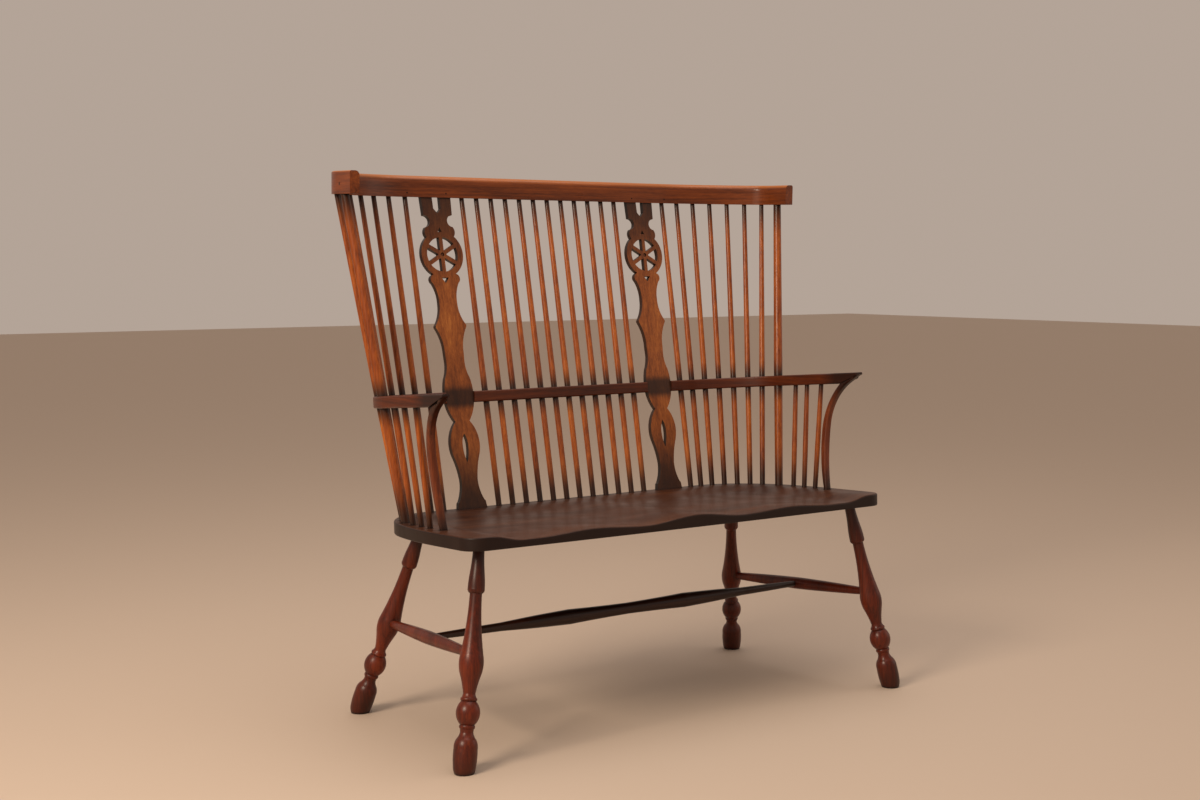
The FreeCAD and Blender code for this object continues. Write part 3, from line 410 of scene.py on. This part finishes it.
def fretted(tree, colour):
    """Dark foot and head, and darker still where the fret saw cut."""
    colour = dark_at_joints(0.14, 0.02, 0.21, 0.86, "#180b06")(tree, colour)
    normal = add_node(tree, "ShaderNodeNewGeometry", {}, "Normal")
    facing = add_node(tree, "ShaderNodeSeparateXYZ", {"Vector": normal}, "Y")
    facing = add_node(tree, "ShaderNodeMath", {"operation": "ABSOLUTE", 0: facing})
    sawn = add_node(tree, "ShaderNodeMapRange", {"Value": facing, "From Min": SAWN_UP_TO,
                                                 "From Max": FACE_FROM, "To Min": 0.9,
                                                 "To Max": 0.0})
    return add_node(tree, "ShaderNodeMix", {"data_type": "RGBA", 0: sawn, 6: colour,
                                            7: linear("#120804")}, 2)


splat_board = polished_wood("elm splats, fret sawn, stained and shellacked",
                            ("#42200c", "#743b16", "#955222", "#b87233"), wear=fretted, gloss=0.38)
dress(splat_board, named("splat"))


# %% [markdown]
# ## Legs and stretchers: turned and glossy
#
# These are turned like the sticks, but of thicker stock and redder. Their incised lines and the
# hollows of their turnings hold black wax, which the shared layer of dirt and painted shade finds.
# Brooms and shoes have scuffed their feet, and they are also made darker towards their heads under
# the seat, so both ends are darker.

# %% Legs and stretchers
# Heights between which the scuffs of a foot fade out, and the leg's head darkens
SCUFFED, HEAD_DARK = (0.02, 0.085), (0.29, 0.40)


def scuffed_feet(tree, colour):
    """A leg's two dark ends, told by the height over the floor."""
    room = add_node(tree, "ShaderNodeTexCoord", {}, "Object")
    height = add_node(tree, "ShaderNodeSeparateXYZ", {"Vector": room}, "Z")
    low = add_node(tree, "ShaderNodeMapRange", {"Value": height, "From Min": SCUFFED[0],
                                                "From Max": SCUFFED[1], "To Min": 0.55,
                                                "To Max": 0.0})
    high = add_node(tree, "ShaderNodeMapRange", {"Value": height, "From Min": HEAD_DARK[0],
                                                 "From Max": HEAD_DARK[1], "To Max": 0.75})
    darkened = add_node(tree, "ShaderNodeMath", {"operation": "ADD", 0: low, 1: high})
    return add_node(tree, "ShaderNodeMix", {"data_type": "RGBA", 0: darkened, 6: colour,
                                            7: linear("#170905")}, 2)


leg_beech = polished_wood("beech legs, turned, stained and shellacked",
                          ("#260a03", "#4c1807", "#66230a", "#843b14"), wear=scuffed_feet,
                          gloss=0.34, dark_corner_reach=9.0, coat=0.10)
dress(leg_beech, named("leg", "stretcher_left", "stretcher_right"))
# Painted shade: the crossbar under the seat is the same beech as the legs, given far darker tones.
crossbar_beech_in_painted_shade = polished_wood("beech crossbar, turned, stained and shellacked",
                               ("#100502", "#200d04", "#2e1306", "#45220c"), axis=ALONG_X,
                               gloss=0.34)
dress(crossbar_beech_in_painted_shade, ["stretcher_centre"])


# %% [markdown]
# ## Arm supports: sawn to a curve and eased by hand
#
# The supports are sawn square in the CAD model, and a spokeshave has rounded the real ones. A copy
# of each solid has its triangles merged, its long arrises are found by the angle between their
# faces, and they get a rounded bevel. The ends in the seat and under the bow stay as they are.

# %% Ease the supports' long arrises
SUPPORT_EASE, MERGE_REACH = 4.0 * MM, 0.02 * MM
# An arris is sharper than this, and a long one runs less than this share of its way along X
ARRIS_ANGLE, SIDEWAYS = math.radians(50), 0.6


def deselect():
    """Nothing selected, so that the next operator acts on one piece alone."""
    bpy.ops.object.select_all(action="DESELECT")


def eased_support(side):
    """A copy of one support with its long arrises rounded, standing in for the solid."""
    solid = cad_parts[f"arm_support_{side}"]
    piece = bpy.data.objects.new(f"eased_arm_support_{side}", solid.data.copy())
    bpy.context.scene.collection.objects.link(piece)
    deselect()
    piece.select_set(True)
    bpy.context.view_layer.objects.active = piece
    bpy.ops.object.mode_set(mode="EDIT")
    bpy.ops.mesh.select_all(action="SELECT")
    bpy.ops.mesh.remove_doubles(threshold=MERGE_REACH)
    bpy.ops.mesh.tris_convert_to_quads(face_threshold=math.radians(8),
                                       shape_threshold=math.radians(60))
    bpy.ops.mesh.select_mode(type="EDGE")
    bpy.ops.mesh.select_all(action="DESELECT")
    cage = bmesh.from_edit_mesh(piece.data)
    for edge in cage.edges:
        upright = abs((edge.verts[0].co - edge.verts[1].co).normalized().x) < SIDEWAYS
        between_faces = len(edge.link_faces) == 2 and edge.calc_face_angle() > ARRIS_ANGLE
        edge.select = between_faces and upright
    cage.select_flush_mode()
    bmesh.update_edit_mesh(piece.data)
    bpy.ops.mesh.bevel(offset=SUPPORT_EASE, offset_type="OFFSET", segments=4, profile=0.5)
    bpy.ops.mesh.select_all(action="SELECT")
    bpy.ops.mesh.remove_doubles(threshold=MERGE_REACH)
    bpy.ops.mesh.normals_make_consistent(inside=False)
    bpy.ops.object.mode_set(mode="OBJECT")
    bpy.ops.object.shade_smooth_by_angle(angle=math.radians(35))
    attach(piece, "root")
    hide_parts(solid.name)
    print(piece.name, len(piece.data.polygons), "faces")
    return piece


support_beech = polished_wood("beech arm supports, sawn, shaved and stained",
                              ("#2a1007", "#52220e", "#713416", "#945024"),
                              wear=dark_at_joints(0.07, 0.06, 0.09, 0.85), gloss=0.34)
for side in ("left", "right"):
    piece = eased_support(side)
    piece.data.materials.clear()
    piece.data.materials.append(support_beech)


# %% [markdown]
# ## Nails of the comb
#
# Four iron nails hold the comb on its sticks and splats. Old iron is dark and dull, a metal under a
# rough brown oxide, so it keeps the default IOR and is less metallic than a bright one.

# %% Iron nails
iron = bpy.data.materials.new("iron nails, cut and oxidised")
iron.use_nodes = True
iron_shader = iron.node_tree.nodes["Principled BSDF"]
iron_shader.inputs["Base Color"].default_value = linear("#1d1613")
iron_shader.inputs["Metallic"].default_value = 0.6
iron_shader.inputs["Roughness"].default_value = 0.6
dress(iron, ["comb_pins"])


# %% [markdown]
# ## A pale floor, soft light and the camera
#
# The floor is one big plane in a plain pale finish. A large lamp to the left of the bench is the
# window, one overhead is the ceiling, and a faint one from the right keeps the shaded sides
# readable. The camera stands to the left of the bench's front, about a metre above the floor.

# %% Floor and sky
deselect()
bpy.ops.mesh.primitive_plane_add(size=40.0, location=(0, 0, 0))
floor = bpy.context.object
floor.name = "pale_floor"
floor_paint = bpy.data.materials.new("floor, pale, matt paint")
floor_paint.use_nodes = True
floor_shader = floor_paint.node_tree.nodes["Principled BSDF"]
floor_shader.inputs["Base Color"].default_value = linear("#cbb8a6")
floor_shader.inputs["Roughness"].default_value = 0.7
floor.data.materials.append(floor_paint)
print(floor.name, "is", [round(v, 1) for v in floor.dimensions], "m")

world = bpy.data.worlds.new("pale room")
bpy.context.scene.world = world
world.use_nodes = True
world.node_tree.nodes["Background"].inputs["Color"].default_value = linear("#d0beb0")
world.node_tree.nodes["Background"].inputs["Strength"].default_value = 0.72


# %% Lamps
MIDDLE = Vector((0.0, 0.0, 0.65))


def soft_lamp(name, place, width, height, watts, colour):
    """A rectangular lamp that faces the middle of the bench."""
    lamp = bpy.data.lights.new(name, "AREA")
    lamp.shape = "RECTANGLE"
    lamp.size, lamp.size_y = width, height
    lamp.energy = watts
    lamp.color = linear(colour)[:3]
    holder = bpy.data.objects.new(name, lamp)
    bpy.context.scene.collection.objects.link(holder)
    holder.location = place
    holder.rotation_euler = (MIDDLE - Vector(place)).to_track_quat("-Z", "Y").to_euler()
    print(name, "gives", watts, "W from", place)


soft_lamp("window", (-3.6, -1.0, 2.6), 1.4, 1.2, 120.0, "#ffead2")
soft_lamp("ceiling", (0.2, -0.3, 3.4), 3.0, 2.0, 35.0, "#fff8f2")
soft_lamp("bounce", (3.4, -1.6, 1.6), 2.0, 2.0, 8.0, "#f6e6d8")

# %% Camera
CAMERA_PLACE = Vector((-2.20712, -3.01986, 0.97506))
CAMERA_TURN, CAMERA_DOWN = math.radians(-35.633), math.radians(4.682)
FOCAL_PIXELS, PICTURE_WIDTH, SENSOR = 1697.7, 1200, 36.0

camera = bpy.data.cameras.new("camera")
camera.sensor_width = SENSOR
camera.lens = FOCAL_PIXELS * SENSOR / PICTURE_WIDTH
viewer = bpy.data.objects.new("camera", camera)
bpy.context.scene.collection.objects.link(viewer)
backwards = Vector((math.sin(CAMERA_TURN) * math.cos(CAMERA_DOWN),
                    -math.cos(CAMERA_TURN) * math.cos(CAMERA_DOWN), math.sin(CAMERA_DOWN)))
viewer.location = CAMERA_PLACE
viewer.rotation_euler = (-backwards).to_track_quat("-Z", "Y").to_euler()
bpy.context.scene.camera = viewer
bpy.context.scene.view_settings.view_transform = "Standard"
print("lens", round(camera.lens, 2), "mm")
